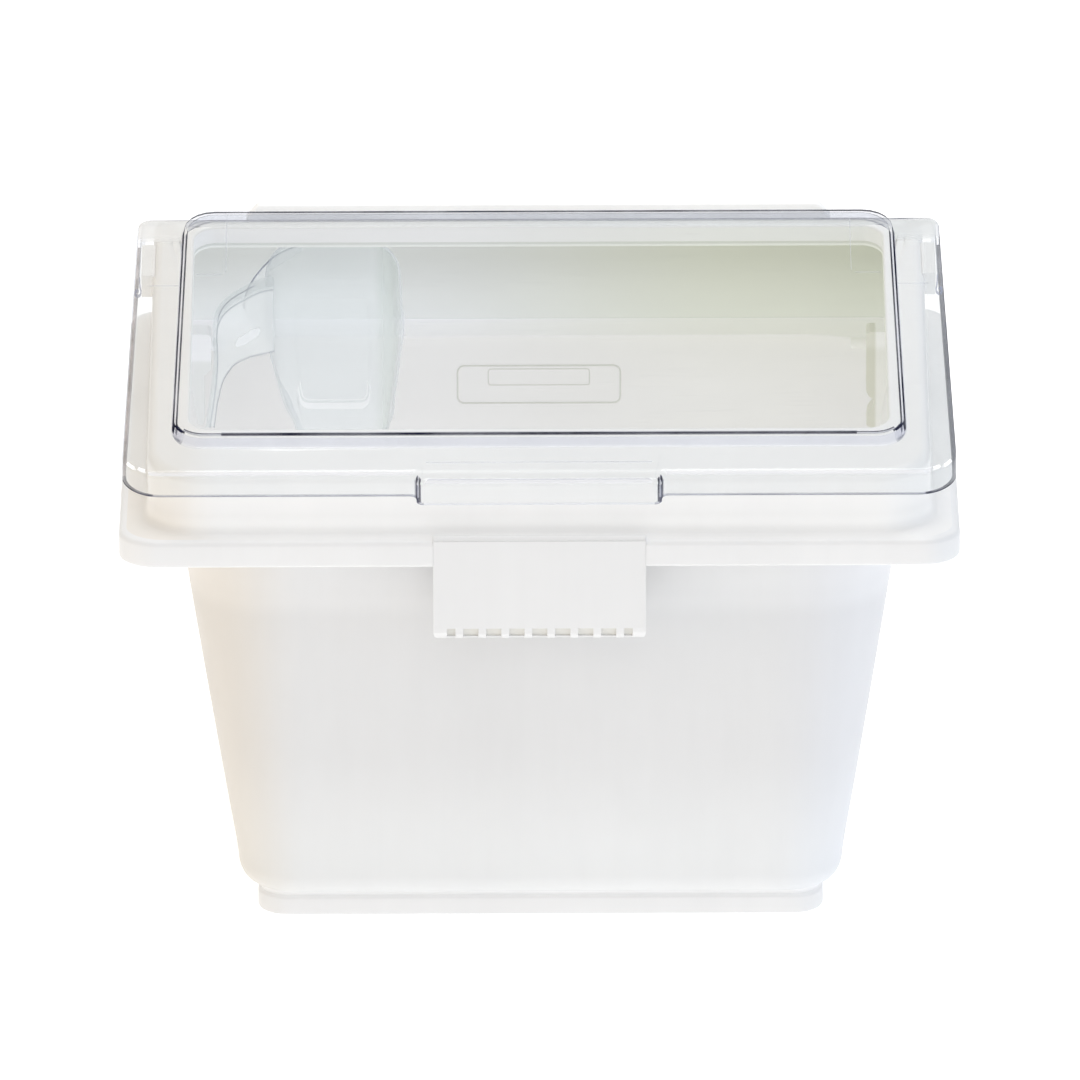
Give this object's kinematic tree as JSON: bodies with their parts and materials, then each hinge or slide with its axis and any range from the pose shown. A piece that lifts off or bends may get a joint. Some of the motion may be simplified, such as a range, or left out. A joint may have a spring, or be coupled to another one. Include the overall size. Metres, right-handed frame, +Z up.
{
  "type": "pet food bin",
  "caption": "Tapered plastic storage bin for dry food with a lift-off hood, a sloping clear flip lid, a front latch and a hanging scoop.",
  "frame": {"origin": "centre of the bounding box at the level the base ring stands on", "axes": "+Z up, -Y towards the front with the latch and the pull lip, +X to the right seen from the front"},
  "size_m": [0.597, 0.489, 0.4428],
  "materials": {
    "tub_plastic": "satin moulded white",
    "hood_plastic": "semi-gloss moulded white",
    "clear_plastic": "polished clear, bluish at the edges",
    "latch_plastic": "satin moulded white",
    "scoop_plastic": "translucent grey",
    "hook_plastic": "satin moulded white"
  },
  "bodies": {
    "tub_body": {"tub": "tub_plastic", "scoop_hook_left": "hook_plastic", "scoop_hook_right": "hook_plastic"},
    "hood_body": {"hood": "hood_plastic"},
    "lid_body": {"clear_lid": "clear_plastic"},
    "latch_body": {"front_latch": "latch_plastic"},
    "scoop_body": {"scoop": "scoop_plastic"}
  },
  "joints": [
    {"name": "hood_lift", "type": "slide", "parent": "tub_body", "child": "hood_body", "axis": [0, 0, 1], "range_m": [0, 0.12]},
    {"name": "lid_flip", "type": "hinge", "parent": "hood_body", "child": "lid_body", "pos_m": [0, 0.1075, 0.43497], "axis": [-1, 0, 0], "range_deg": [0, 95]},
    {"name": "latch_swing", "type": "hinge", "parent": "hood_body", "child": "latch_body", "pos_m": [0, -0.2401, 0.3176], "axis": [-1, 0, 0], "range_deg": [0, 80]},
    {"name": "scoop_off_peg", "type": "slide", "parent": "tub_body", "child": "scoop_body", "axis": [1, 0, 0], "range_m": [0, 0.03]}
  ]
}
